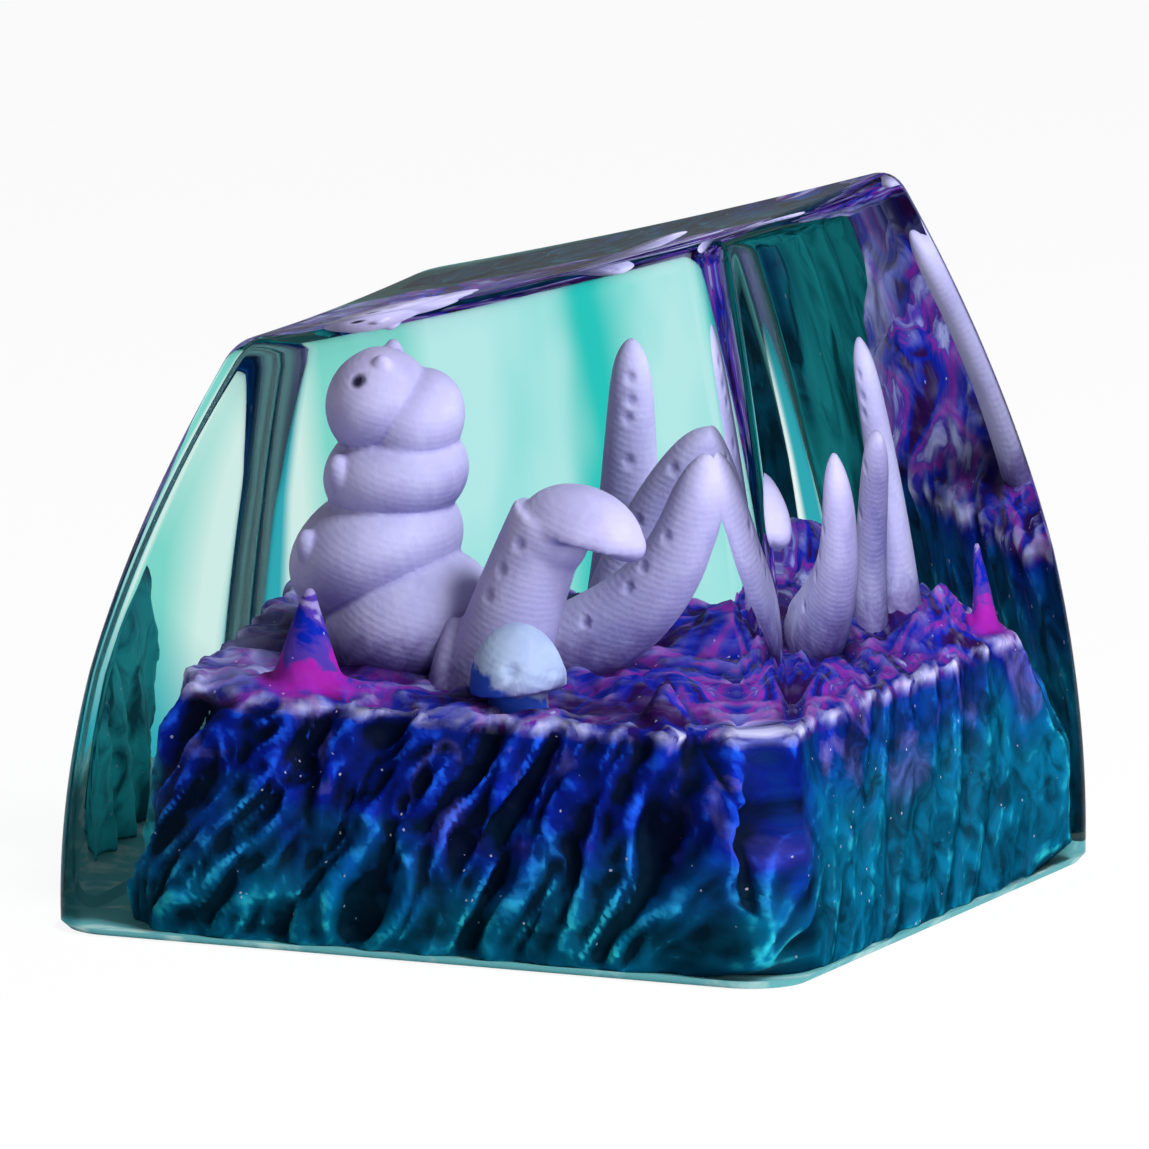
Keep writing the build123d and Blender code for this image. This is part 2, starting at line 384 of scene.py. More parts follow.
def block_rings(s):
    """Rings of points of the resin skin, from the hollow in the rock out over the foot and up to the dish."""
    steps = range(4 * (s.straight_steps + s.corner_steps))
    rings = []
    for rise in (1.0, 0.66, 0.33, 0.0):
        half = s.core_half_foot + (s.core_half_top - s.core_half_foot) * rise**2
        ring = [outline(step, half, half, s.core_corner, s) for step in steps]
        rings.append([Vector((x, y, s.core_height * rise)) for x, y in ring])
    half_base = s.base_width / 2
    middle = (s.core_half_foot + half_base) / 2
    for half, inset in ((middle, 0), (half_base - s.foot_chamfer, s.foot_chamfer)):
        ring = [outline(step, half, half, s.base_corner - inset, s) for step in steps]
        rings.append([Vector((x, y, 0)) for x, y in ring])
    brims = []
    for step in steps:
        rise = 1.0
        for _ in range(8):
            point = wall_point(step, rise, 0, s)
            rise -= (point.z - dish_height(point.x, point.y, s)) / s.back_height
        brims.append(rise)
    height = (s.front_height + s.back_height) / 2
    first = s.foot_chamfer / height
    for level in range(s.wall_steps + 1):
        ring = []
        for step in steps:
            last = brims[step] - s.rim_round / height
            ring.append(wall_point(step, first + (last - first) * level / s.wall_steps, 0, s))
        rings.append(ring)
    bends = 7
    for bend in range(1, bends + 1):
        t = bend / bends
        ring = []
        for step in steps:
            below = wall_point(step, brims[step] - s.rim_round / height, 0, s)
            brim = wall_point(step, brims[step], 0, s)
            inner = wall_point(step, brims[step], s.rim_round, s)
            inner.z = dish_height(inner.x, inner.y, s)
            ring.append(below * (1 - t) ** 2 + brim * 2 * t * (1 - t) + inner * t**2)
        rings.append(ring)
    return rings


def resin_material(s):
    """Cast epoxy, polished: bends light like glass, with a breath of aqua in its depth.

    Thin dye runs down the far wall, and the foot is sanded matt in places. As through a polarising filter,
    it mirrors only at a low angle and where light can't leave the block.
    """
    material, add = blank_material("aqua_cast_epoxy")
    place = add("TexCoord", out="Object")
    along, height = [add("SeparateXYZ", {0: place}, out=axis) for axis in "YZ"]
    kept = ("far_wall", "top", "pooled", "blunt")
    far, top, pooled, blunt = [add("Attribute", out="Fac", attribute_name=name) for name in kept]

    # Sanding: ragged patches within a millimetre of the foot
    speckle = add("TexNoise", {"Vector": place, "Scale": 1 / (2.5 * MM), "Detail": 4.0})
    reach = add("MapRange", {"Value": speckle, "From Min": 0.5, "From Max": 0.7, "To Max": 0.8 * MM})
    sanded = add("MapRange", {"Value": height, "From Max": reach, "To Min": 0.4, "To Max": 0.0})

    # Dye: soft vertical runs, several millimetres long, one strong run behind the tall feeler, then the front
    tall = add("Mapping", {"Vector": place, "Scale": (1, 1, 0.18)})
    run = add("TexNoise", {"Vector": tall, "Scale": 1 / (2.4 * MM), "Detail": 2.0})
    deep = add("MapRange", {"Value": run, "From Min": 0.42, "From Max": 0.62})
    sway = add("Math", {0: run, 1: 2.2 * MM, 2: along}, operation="MULTIPLY_ADD")
    off = add("Math", {0: sway, 1: 1.0 * MM}, operation="SUBTRACT")
    apart = add("Math", {0: off}, operation="ABSOLUTE")
    streak = add(
        "MapRange",
        {"Value": apart, "From Min": 0.1 * MM, "From Max": 1.25 * MM, "To Min": 1.0, "To Max": 0.0},
        interpolation_type="SMOOTHSTEP",
    )
    layers = [(deep, s.mist_deep), (streak, s.mist_streak)]
    for start, colour in ((-4.2, s.mist_side), (-6.9, s.mist_front)):
        step = add("MapRange", {"Value": along, "From Min": start * MM, "From Max": (start - 0.7) * MM})
        layers.append((step, colour))
    dye = linear(s.mist)
    for cover, colour in layers:
        dye = add("Mix", {0: cover, 6: dye, 7: linear(colour)}, out=2, data_type="RGBA")
    dye = add("Mix", {0: far, 6: (1, 1, 1, 1), 7: dye}, out=2, data_type="RGBA")
    dye = add("Mix", {0: pooled, 6: dye, 7: linear(s.pool)}, out=2, data_type="RGBA")

    # The front corners are less polished, which softens what they mirror
    rough = add("Math", {0: blunt, 1: 0.3, 2: sanded}, operation="MULTIPLY_ADD")
    bent = add("BsdfRefraction", {"Color": dye, "Roughness": rough, "IOR": 1.5})
    mirror = add("BsdfGlossy", {"Color": (1, 1, 1, 1), "Roughness": rough})
    fresnel = add("Fresnel", {"IOR": 1.5})
    graze = add("MapRange", {"Value": fresnel, "From Min": 0.14})
    inside = add("NewGeometry", out="Backfacing")
    polish = add("MapRange", {"Value": top, "To Min": 0.3, "To Max": 0.12})
    calm = add("MapRange", {"Value": inside, "To Min": polish})
    shine = add("Math", {0: graze, 1: calm}, operation="MULTIPLY")
    skin = add("MixShader", {0: shine, 1: bent, 2: mirror})

    # Lamps and bounced light pass straight in, so that the scene inside is lit without grain
    shadow, bounce = [add("LightPath", out=ray) for ray in ("Is Shadow Ray", "Is Diffuse Ray")]
    passing = add("Math", {0: shadow, 1: bounce}, operation="MAXIMUM")
    clear = add("BsdfTransparent", {"Color": (0.96, 0.99, 0.99, 1)})
    surface = add("MixShader", {0: passing, 1: skin, 2: clear})
    tint = add("VolumeAbsorption", {"Color": linear(s.tint), "Density": s.tint_density})
    add("OutputMaterial", {"Surface": surface, "Volume": tint})
    return material


def sanded_material(s):
    """Cast epoxy, sanded flat on paper: a matt pale teal with lighter scuffs that mirrors nothing."""
    material, add = blank_material("sanded_epoxy")
    place = add("TexCoord", out="Object")
    scuff = add("TexNoise", {"Vector": place, "Scale": 1 / (1.2 * MM), "Detail": 5.0})
    worn = add("MapRange", {"Value": scuff, "From Min": 0.5, "From Max": 0.68})
    shown = add("Mix", {0: worn, 6: linear(s.foot), 7: linear(s.foot_pale)}, out=2, data_type="RGBA")
    skin = add("BsdfPrincipled", {"Base Color": shown, "Roughness": 0.85, "Specular IOR Level": 0.2})
    add("OutputMaterial", {"Surface": skin})
    return material


class KEYCAP_OT_resin(bpy.types.Operator):
    """Model the clear block as one smooth skin with a hollow hidden inside the rock"""

    bl_idname = "keycap.resin"
    bl_label = "Clear block"

    def execute(self, context):
        s = context.scene.keycap_resin
        rings = block_rings(s)
        bpy.ops.mesh.primitive_circle_add(vertices=len(rings[0]), radius=s.base_width / 2 * MM)
        skin = context.object
        bpy.ops.object.mode_set(mode="EDIT")
        mesh = bmesh.from_edit_mesh(skin.data)
        steps = mesh.verts.layers.int.new("step")
        mesh.verts.ensure_lookup_table()
        for index, vert in enumerate(mesh.verts):
            vert[steps] = index
            vert.co = rings[0][index] * MM
        bmesh.update_edit_mesh(skin.data)
        bpy.ops.mesh.select_all(action="SELECT")
        bpy.ops.mesh.fill_grid(span=s.straight_steps + s.corner_steps)
        self.pick_border(skin)
        for ring in rings[1:]:
            bpy.ops.mesh.extrude_edges_move()
            self.place(skin, ring)
        bpy.ops.mesh.fill_grid(span=s.straight_steps + s.corner_steps)
        mesh = bmesh.from_edit_mesh(skin.data)
        for vert in mesh.verts:
            if vert.select:
                vert.co.z = dish_height(vert.co.x / MM, vert.co.y / MM, s) * MM
        bmesh.update_edit_mesh(skin.data)
        bpy.ops.mesh.select_all(action="SELECT")
        bpy.ops.mesh.normals_make_consistent(inside=False)
        bpy.ops.object.mode_set(mode="OBJECT")
        self.mark_walls(skin)
        settle(skin, "resin_block", resin_material(s), "clear_resin", "clear_cap")
        skin.data.materials.append(sanded_material(s))
        for face in skin.data.polygons:
            hidden = max(abs(face.center.x), abs(face.center.y)) < s.core_half_foot * MM
            sanded = face.normal.z < -0.4 or hidden and face.center.z < (s.core_height + 0.1) * MM
            face.material_index = 1 if sanded else 0
        bpy.ops.object.shade_smooth_by_angle(angle=radians(40))
        return {"FINISHED"}

    def pick_border(self, skin):
        """Selects the edges round the open border."""
        bpy.ops.mesh.select_all(action="DESELECT")
        mesh = bmesh.from_edit_mesh(skin.data)
        for edge in mesh.edges:
            edge.select_set(edge.is_boundary)
        bmesh.update_edit_mesh(skin.data)

    def place(self, skin, points):
        """Moves the selected ring to its points."""
        mesh = bmesh.from_edit_mesh(skin.data)
        steps = mesh.verts.layers.int["step"]
        for vert in mesh.verts:
            if vert.select:
                vert.co = points[vert[steps]] * MM
        bmesh.update_edit_mesh(skin.data)

    def mark_walls(self, skin):
        """Keeps for the dye and the polish what lies on the far wall, on top and at the front corners."""
        far, top, pooled, blunt = marks(skin, "far_wall", "top", "pooled", "blunt")
        for vert in skin.data.vertices:
            height, normal, index = vert.co.z / MM, vert.normal, vert.index
            turn = fade(min(abs(normal.x), -normal.y), 0.25, 0.45)
            low = min(fade(max(-normal.x, -normal.y), 0.5, 0.8), fade(height, 2.4, 0.4))
            near = 0.6 * turn * fade(height, 11.0, 7.0)
            far[index].value = fade(-normal.x, 0.45, 0.85)
            top[index].value = fade(normal.z, 0.7, 0.9)
            pooled[index].value = max(low, turn if normal.x < 0 else near)
            blunt[index].value = turn if normal.x < 0 else 0.25 * turn


def rock_material(s):
    """Cast rock under layers of hand paint, kept matt by the resin round it.

    Near black washes with painted shade in the grooves, deep blue ridges that turn teal at the foot, thin
    bright edges of painted highlight, painted light on the front flank, a dry brushed pale rim, magenta and
    violet ground with pale brush lines that are partly painted highlight, painted shade round the figures'
    feet, and fine glitter.
    """
    material, add = blank_material("hand_painted_cast_rock")
    place = add("TexCoord", out="Object")
    along, height = [add("SeparateXYZ", {0: place}, out=axis) for axis in "YZ"]
    kept = ("crest", "vein", "ground", "spire", "shade", "plain", "pale")
    crest, vein, ground, spire, shade, plain, pale = [
        add("Attribute", out="Fac", attribute_name=name) for name in kept
    ]
    # Blots of paint: length, fineness and bend
    blots = ((2.2, 5.0, 0.8), (1.3, 6.0, 1.6), (2.3, 4.0, 1.6))
    blotch, patch, pooled = [
        add("TexNoise", {"Vector": place, "Scale": 1 / (length * MM), "Detail": fine, "Distortion": bend})
        for length, fine, bend in blots
    ]

    # Flank: colour by height, more teal on the smoother sides, a wash and painted shade in the grooves
    wander = add("Math", {0: blotch, 1: 4.0 * MM, 2: height}, operation="MULTIPLY_ADD")
    back = add("Math", {0: plain, 1: -1.9 * MM, 2: wander}, operation="MULTIPLY_ADD")
    rise = add("MapRange", {"Value": back, "From Min": 2.9 * MM, "From Max": 5.2 * MM})
    hollow, ridge, edge = [
        add("Mix", {0: rise, 6: linear(low), 7: linear(high)}, out=2, data_type="RGBA")
        for low, high in ((s.groove_wash_and_shade_teal, s.groove_wash_and_shade_blue), (s.teal, s.blue), (s.edge_highlight_teal, s.edge_highlight_blue))
    ]
    cloud = add("MapRange", {"Value": patch, "From Min": 0.36, "From Max": 0.6, "To Min": 0.15})
    lit = add("MapRange", {"Value": crest, "From Min": 0.4, "From Max": 0.85})
    part = add("MapRange", {"Value": lit, "To Min": 0.55})
    soft = add("Math", {0: cloud, 1: part}, operation="MULTIPLY")
    body = add("Mix", {0: plain, 2: lit, 3: soft})
    # Thin bright edges on the ridges: painted highlight
    highlight_line = add("MapRange", {"Value": vein, "From Min": 0.62, "From Max": 0.95, "To Max": 0.8})
    worn = add("MapRange", {"Value": patch, "From Min": 0.42, "From Max": 0.6})
    thin = add("Math", {0: highlight_line, 1: worn}, operation="MULTIPLY")
    upper = add("MapRange", {"Value": height, "From Min": 2.2 * MM, "From Max": 4.8 * MM})
    spots = add("MapRange", {"Value": blotch, "From Min": 0.58, "From Max": 0.68, "To Max": 0.6})
    dry = add("Math", {0: upper, 1: spots}, operation="MULTIPLY")
    brushed = add("Math", {0: dry, 1: body}, operation="MULTIPLY")
    # Paler teal clouds on the front flank: painted light
    front_light = add("Math", {0: pale, 1: cloud}, operation="MULTIPLY")
    layers = ((body, ridge), (thin, edge), (brushed, linear(s.mauve)), (front_light, linear(s.edge_highlight_teal)))
    side = hollow
    for cover, colour in layers:
        side = add("Mix", {0: cover, 6: side, 7: colour}, out=2, data_type="RGBA")

    # Ground: pools from plum over blue, violet and magenta to lilac, pale strokes that are partly painted
    # highlight, paler to the front
    pools = add("MapRange", {"Value": pooled, "From Min": 0.3, "From Max": 0.7})
    floor = linear(s.plum)
    bands = ((0.24, s.blue), (0.4, s.violet), (0.54, s.magenta), (0.62, s.violet), (0.8, s.lilac))
    for start, colour in bands:
        step = add("MapRange", {"Value": pools, "From Min": start, "From Max": start + 0.16})
        floor = add("Mix", {0: step, 6: floor, 7: linear(colour)}, out=2, data_type="RGBA")
    drawn = add("Mapping", {"Vector": place, "Rotation": (0, 0, radians(25)), "Scale": (1, 0.2, 1)})
    strokes = add("TexNoise", {"Vector": drawn, "Scale": 1 / (0.5 * MM), "Detail": 3.0, "Distortion": 0.6})
    stroke = add("MapRange", {"Value": strokes, "From Min": 0.48, "From Max": 0.7, "To Max": 0.5})
    # Pale strokes on the raised swirls: partly painted highlight
    raised = add("MapRange", {"Value": crest, "From Min": 0.4, "From Max": 0.8})
    pale_strokes_and_highlight = add("Math", {0: stroke, 1: raised}, operation="MULTIPLY")
    front = add("MapRange", {"Value": along, "From Min": -4.6 * MM, "From Max": -6.6 * MM})
    chalky = add("Math", {0: front, 1: cloud}, operation="MULTIPLY")
    for cover in (pale_strokes_and_highlight, chalky):
        floor = add("Mix", {0: cover, 6: floor, 7: linear(s.lilac)}, out=2, data_type="RGBA")

    # Spires: magenta foot, a blue run, mauve and violet above
    ragged = add("Math", {0: patch, 1: 3.0 * MM, 2: height}, operation="MULTIPLY_ADD")
    horn = linear(s.magenta)
    bands = ((7.3, s.violet), (7.8, s.blue), (8.2, s.violet), (8.6, s.mauve), (9.1, s.violet))
    for start, colour in bands:
        step = add("MapRange", {"Value": ragged, "From Min": start * MM, "From Max": (start + 0.2) * MM})
        horn = add("Mix", {0: step, 6: horn, 7: linear(colour)}, out=2, data_type="RGBA")

    # Rim: frost where the flank turns into the ground, then painted shade round the figures' feet, then
    # glitter, whose flakes are drawn coarse so that they show
    turn = add("Math", {0: ground, 1: 0.5}, operation="PINGPONG")
    high = add("MapRange", {"Value": crest, "From Min": 0.45, "From Max": 0.85})
    rim = add("Math", {0: turn, 1: high}, operation="MULTIPLY")
    chalk = add("MapRange", {"Value": patch, "From Min": 0.4, "From Max": 0.56, "To Max": 1.5})
    rimmed = add("Math", {0: rim, 1: chalk}, operation="MULTIPLY", use_clamp=True)
    flake = add("TexVoronoi", {"Vector": place, "Scale": 1 / (0.05 * MM)}, out="Color")
    chance = add("SeparateColor", {0: flake})
    glint = add("Math", {0: chance, 1: 0.9988}, operation="GREATER_THAN")
    spark = add("Math", {0: glint, 1: 0.4}, operation="MULTIPLY")
    top = add("Mix", {0: spire, 6: floor, 7: horn}, out=2, data_type="RGBA")
    shown = add("Mix", {0: ground, 6: side, 7: top}, out=2, data_type="RGBA")
    for cover, colour in ((rimmed, s.frost), (shade, s.plum), (spark, s.frost)):
        shown = add("Mix", {0: cover, 6: shown, 7: linear(colour)}, out=2, data_type="RGBA")
    grain = add("TexNoise", {"Vector": place, "Scale": 1 / (0.25 * MM), "Detail": 4.0})
    bump = add("Bump", {"Height": grain, "Strength": 0.5, "Distance": 0.05 * MM})
    finish = {"Roughness": 0.6, "Specular IOR Level": 0.03}
    skin = add("BsdfPrincipled", {"Base Color": shown, "Normal": bump, **finish})
    add("OutputMaterial", {"Surface": skin})
    return material


class KEYCAP_OT_rock(bpy.types.Operator):
    """Sculpt the rock from a copy of its solid: root-like ridges on the flanks, swirls on the ground"""

    bl_idname = "keycap.rock"
    bl_label = "Painted rock"

    # Places of the spires in the solid, and of the painted shade round the figures' feet and one more dark
    # patch, with their reach
    SPIRES = ((5.5, -3.65, 1.3), (-5.65, 5.65, 0.9))
    SHADE_SPOTS = (
        (1.1, -2.9, 2.75),
        (5.2, 1.45, 1.15),
        (3.0, 0.2, 1.4),
        (-0.2, 1.4, 1.4),
        (-3.0, 2.0, 1.0),
        (-4.6, 0.8, 1.1),
        (4.9, 4.0, 1.2),
    )

    # Half width of the switch pocket at its foot, and how much it narrows per height
    POCKET_HALF = 7.0
    POCKET_LEAN = 0.12

    def execute(self, context):
        s = context.scene.keycap_rock
        pick(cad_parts["rock_base"])
        bpy.ops.object.duplicate()
        rock = context.object
        rock.parent = None
        bpy.ops.object.mode_set(mode="EDIT")
        bpy.ops.mesh.select_all(action="SELECT")
        bpy.ops.mesh.remove_doubles(threshold=0.002 * MM)
        bpy.ops.object.mode_set(mode="OBJECT")
        remesh(rock, s.voxel, rounds=3)
        self.carve(rock, s)
        keep_relief(rock, "crest", rounds=32, depth=0.16)
        keep_relief(rock, "vein", rounds=6, depth=0.035)
        settle(rock, "painted_rock", rock_material(s), "painted_rock", "rock_base")
        return {"FINISHED"}

    def carve(self, rock, s):
        """Moves the outer skin along its normals, and keeps for the paint what each point of it is."""
        grounds, spires, shades, plains, front_light_shares = marks(rock, "ground", "spire", "shade", "plain", "pale")
        moves = []
        for vert in rock.data.vertices:
            at, index = vert.co / MM, vert.index
            if self.hidden(at, vert.normal):
                moves.append(Vector())
                continue
            upward = fade(at.z, GROUND - 0.3375, GROUND + 0.1125)
            spire = upward * max(0.0, *(1 - self.apart(at, place) ** 4 for place in self.SPIRES))
            plain = fade(at.x, s.smooth_from, s.smooth_from - s.smooth_fade) * (1 - upward)
            # Painted shade round the figures' feet
            near = max(1.25 - self.apart(at, place) for place in self.SHADE_SPOTS)
            grounds[index].value = upward
            spires[index].value = spire
            shades[index].value = min(0.85, max(0.0, 3 * near)) * upward * (1 - spire)
            plains[index].value = plain
            # Share of painted light on the front flank
            front_light_shares[index].value = fade(-at.y, 6.9, 7.3) * plain
            corner = self.back_corner(at)
            outward = Vector((copysign(1, at.x), 1, 0)) * (s.corner_fill * corner)
            lift = self.relief(at, s, upward, spire, plain) * (1 - 0.6 * corner)
            moves.append((vert.normal * lift + outward) * min(1.0, at.z / 0.4))
        for vert, move in zip(rock.data.vertices, moves):
            vert.co += move * MM

    def hidden(self, at, normal):
        """Whether a point lies in the switch pocket or on the underside."""
        reach = (at.x**8 + at.y**8) ** 0.125
        pocket = reach < self.POCKET_HALF - self.POCKET_LEAN * at.z and at.z < GROUND - 0.7
        return pocket or normal.z < -0.7

    def apart(self, at, place):
        """Distance of a point from a place on the ground, as a share of the place's reach."""
        return (at.xy - Vector(place[:2])).length / place[2]

    def back_corner(self, at):
        """1 at the two back corners, where the rock comes close to the resin's wall, and 0 away from them."""
        narrow, wide = sorted((abs(at.x), abs(at.y)))
        return fade(narrow / wide, 0.72, 0.97) * fade(wide, 6.2, 6.9) * fade(at.y, 0.0, 1.0)

    def relief(self, at, s, upward, spire, plain):
        """Height of the sculpting: ridges and twigs on the flank, swirls on the ground, lumps all over."""
        round_way = Vector((-at.y, at.x, 0)).normalized()
        bent = at - round_way * (s.root_slant * at.z) + noise.noise_vector(at / s.warp_length) * s.root_warp
        root = Vector((bent.x / s.root_spacing, bent.y / s.root_spacing, at.z / s.root_length))
        twig = root * 2.3 + Vector((5, 3, 1))
        swirl = at / s.swirl_length + noise.noise_vector(at / s.bend_length) * s.swirl_bend
        ridges, twigs, swirls = [1 - 2 * abs(noise.noise(where)) for where in (root, twig, swirl)]
        lumps = noise.fractal(at / s.pit_length, 1.0, 2.0, 3)
        flank = (0.75 * ridges + 0.25 * twigs - 0.5) * s.root_depth * (1 - upward) * (1 - s.smoothing * plain)
        ground = (swirls - 0.5) * s.ground_swirl * upward
        return flank + (ground + lumps * s.pitting) * (1 - 0.85 * spire)


def figure_material(name, colour, s, under=None):
    """Printed figure under matt acrylic: smooth pale paint with fine layer lines.

    Painted shade lies in the folds and on the undersides, with a darker tone in soft clouds; high spots are
    dry brushed, and ground paint ran up the feet, partly as painted contact shade.
    """
    if name in bpy.data.materials:
        return bpy.data.materials[name]
    material, add = blank_material(name)
    place = add("TexCoord", out="Object")
    along, height = [add("SeparateXYZ", {0: place}, out=axis) for axis in "YZ"]
    fold, bead = [add("Attribute", out="Fac", attribute_name=kept) for kept in ("fold", "bead")]

    # Painted shade in the folds and on the undersides, and a darker tone in soft clouds
    sunk = {"From Min": 0.1, "From Max": 0.48, "To Min": 0.95, "To Max": 0.0}
    deep = add("MapRange", {"Value": fold, **sunk})
    cloud = add("TexNoise", {"Vector": place, "Scale": 1 / (1.6 * MM), "Detail": 4.0})
    tone = add("MapRange", {"Value": cloud, "From Min": 0.42, "From Max": 0.68, "To Max": 0.22})
    facing = add("TexCoord", out="Normal")
    upward = add("SeparateXYZ", {0: facing}, out="Z")
    # Undersides darker: painted shade
    missed = {"From Min": -0.6, "From Max": 0.3, "To Min": 0.5, "To Max": 0.0}
    below = add("MapRange", {"Value": upward, **missed})
    thin = add("Math", {0: below, 1: tone}, operation="ADD")
    painted_shade_and_tone = add("Math", {0: deep, 1: thin}, operation="ADD", use_clamp=True)

    # Dry brush on the high spots, then splashes of ground paint, partly painted contact shade, up to about a
    # millimetre over the ground
    brush = add("TexNoise", {"Vector": place, "Scale": 1 / (0.55 * MM), "Detail": 5.0, "Distortion": 0.8})
    dry = add("MapRange", {"Value": brush, "From Min": 0.5, "From Max": 0.75, "To Max": 0.16})
    proud = add("MapRange", {"Value": fold, "From Min": 0.42, "From Max": 0.62})
    brushed = add("Math", {0: dry, 1: proud}, operation="MULTIPLY")
    soil = add("Math", {0: brush, 1: 1.6 * MM, 2: height}, operation="MULTIPLY_ADD")
    run = {"From Min": (GROUND + 0.7) * MM, "From Max": (GROUND + 1.7) * MM, "To Min": 0.85, "To Max": 0.0}
    splash = add("MapRange", {"Value": soil, **run})
    layers = [(painted_shade_and_tone, s.shadow), (brushed, s.light), (splash, s.splash)]
    if under:
        flecks = add("TexNoise", {"Vector": place, "Scale": 1 / (0.7 * MM), "Detail": 6.0})
        tilted = add("Math", {0: along, 1: 0.45, 2: height}, operation="MULTIPLY_ADD")
        ragged = add("Math", {0: flecks, 1: 1.2 * MM, 2: tilted}, operation="MULTIPLY_ADD")
        low = {"From Min": 6.85 * MM, "From Max": 7.0 * MM, "To Min": 1.0, "To Max": 0.0}
        layers.append((add("MapRange", {"Value": ragged, **low}), under))
    shown = linear(colour)
    for cover, paint_used in layers + [(bead, s.bead)]:
        shown = add("Mix", {0: cover, 6: shown, 7: linear(paint_used)}, out=2, data_type="RGBA")

    # Relief: print layers, grain and brush marks
    turned = add("Mapping", {"Vector": place, "Rotation": (radians(14), radians(-9), 0)})
    bands = {"Scale": pi / 10 / (s.layer * MM), "Distortion": 1.5, "Detail Scale": 2.0}
    lines = add("TexWave", {"Vector": turned, **bands}, bands_direction="Z")
    grain = add("TexNoise", {"Vector": place, "Scale": 1 / (0.12 * MM), "Detail": 3.0})
    ripple = add("Math", {0: grain, 1: 3.0, 2: lines}, operation="MULTIPLY_ADD")
    relief = add("Math", {0: brush, 1: 5.0, 2: ripple}, operation="MULTIPLY_ADD")
    bump = add("Bump", {"Height": relief, "Strength": 0.5, "Distance": 0.006 * MM})
    finish = {"Roughness": 0.62, "Specular IOR Level": 0.15}
    skin = add("BsdfPrincipled", {"Base Color": shown, "Normal": bump, **finish})
    add("OutputMaterial", {"Surface": skin})
    return material


def dimple(obj, places, radius, depth):
    """Presses small round pits into an object's skin, each at the point next to its place."""
    points = [vert.co / MM for vert in obj.data.vertices]
    for place in places:
        middle = min(points, key=lambda point: (point - Vector(place)).length)
        for vert, point in zip(obj.data.vertices, points):
            apart = (point - middle).length / radius
            if apart < 1:
                vert.co -= vert.normal * depth * (1 - apart**2) ** 2 * MM


def skin_figure(body, s, pits, rounds, radius, depth):
    """Welds and relaxes a figure, presses pits into its skin, and keeps its folds for the paint."""
    remesh(body, s.voxel, rounds)
    dimple(body, pits, radius, depth)
    keep_relief(body, "fold", rounds=20, depth=0.08)


class KEYCAP_OT_grub(bpy.types.Operator):
    """Model the grub from squashed balls, welded and relaxed into soft rolls"""

    bl_idname = "keycap.grub"
    bl_label = "Grub"

    # Rolls from the seat up: place over the seat, radii, tilt
    ROLLS = (
        ((0.35, 0.7, 0.8), (2.1, 2.1, 1.55), 16),
        ((0.1, -0.3, 2.2), (2.05, 2.15, 1.4), 22),
        ((0.0, 0.1, 3.85), (1.7, 1.75, 1.2), 10),
        ((-0.1, 0.45, 4.95), (1.4, 1.3, 1.1), 42),
        ((0.1, -0.35, 5.35), (1.3, 1.3, 1.2), 12),
    )

    # Nubs and eyes, on both sides of the top roll's middle
    NUB = (0.55, 0.15, 1.0)
    NUB_RADII = (0.22, 0.24, 0.26)
    EYE = (1.0, -0.35, 0.78)

    # Stub feet: shares of a roll's radii across and to the front, height over its middle, then radii and tilt
    FOOT = (0.66, 0.58, 0.1)
    FOOT_RADII = (0.34, 0.34, 0.5)
    FOOT_TILT = 28

    def execute(self, context):
        s = context.scene.keycap_figure
        seat = (grub_low + grub_high) / 2 / MM
        seat.z = GROUND
        balls = [ball(seat + Vector(place), radii, tilt) for place, radii, tilt in self.ROLLS]
        head = seat + Vector(self.ROLLS[-1][0])
        across, fore, over = self.FOOT
        eyes = []
        for side in (-1, 1):
            mirrored = Vector((side, 1, 1))
            balls.append(ball(head + mirrored * Vector(self.NUB), self.NUB_RADII))
            eyes.append(head + mirrored * Vector(self.EYE))
            for place, radii, _ in self.ROLLS[1:3]:
                foot = Vector((side * radii[0] * across, place[1] - radii[1] * fore, place[2] + over))
                balls.append(ball(seat + foot, self.FOOT_RADII, self.FOOT_TILT))
        body = joined(balls)
        skin_figure(body, s, eyes, rounds=2, radius=0.26, depth=0.1)
        (beads,) = marks(body, "bead")
        for vert in body.data.vertices:
            apart = min((vert.co / MM - eye).length for eye in eyes)
            beads[vert.index].value = fade(apart, 0.24, 0.16)
        paint_used = figure_material("lavender_acrylic", s.lavender, s)
        settle(body, "grub_body", paint_used, "lavender_figure", "grub")
        return {"FINISHED"}


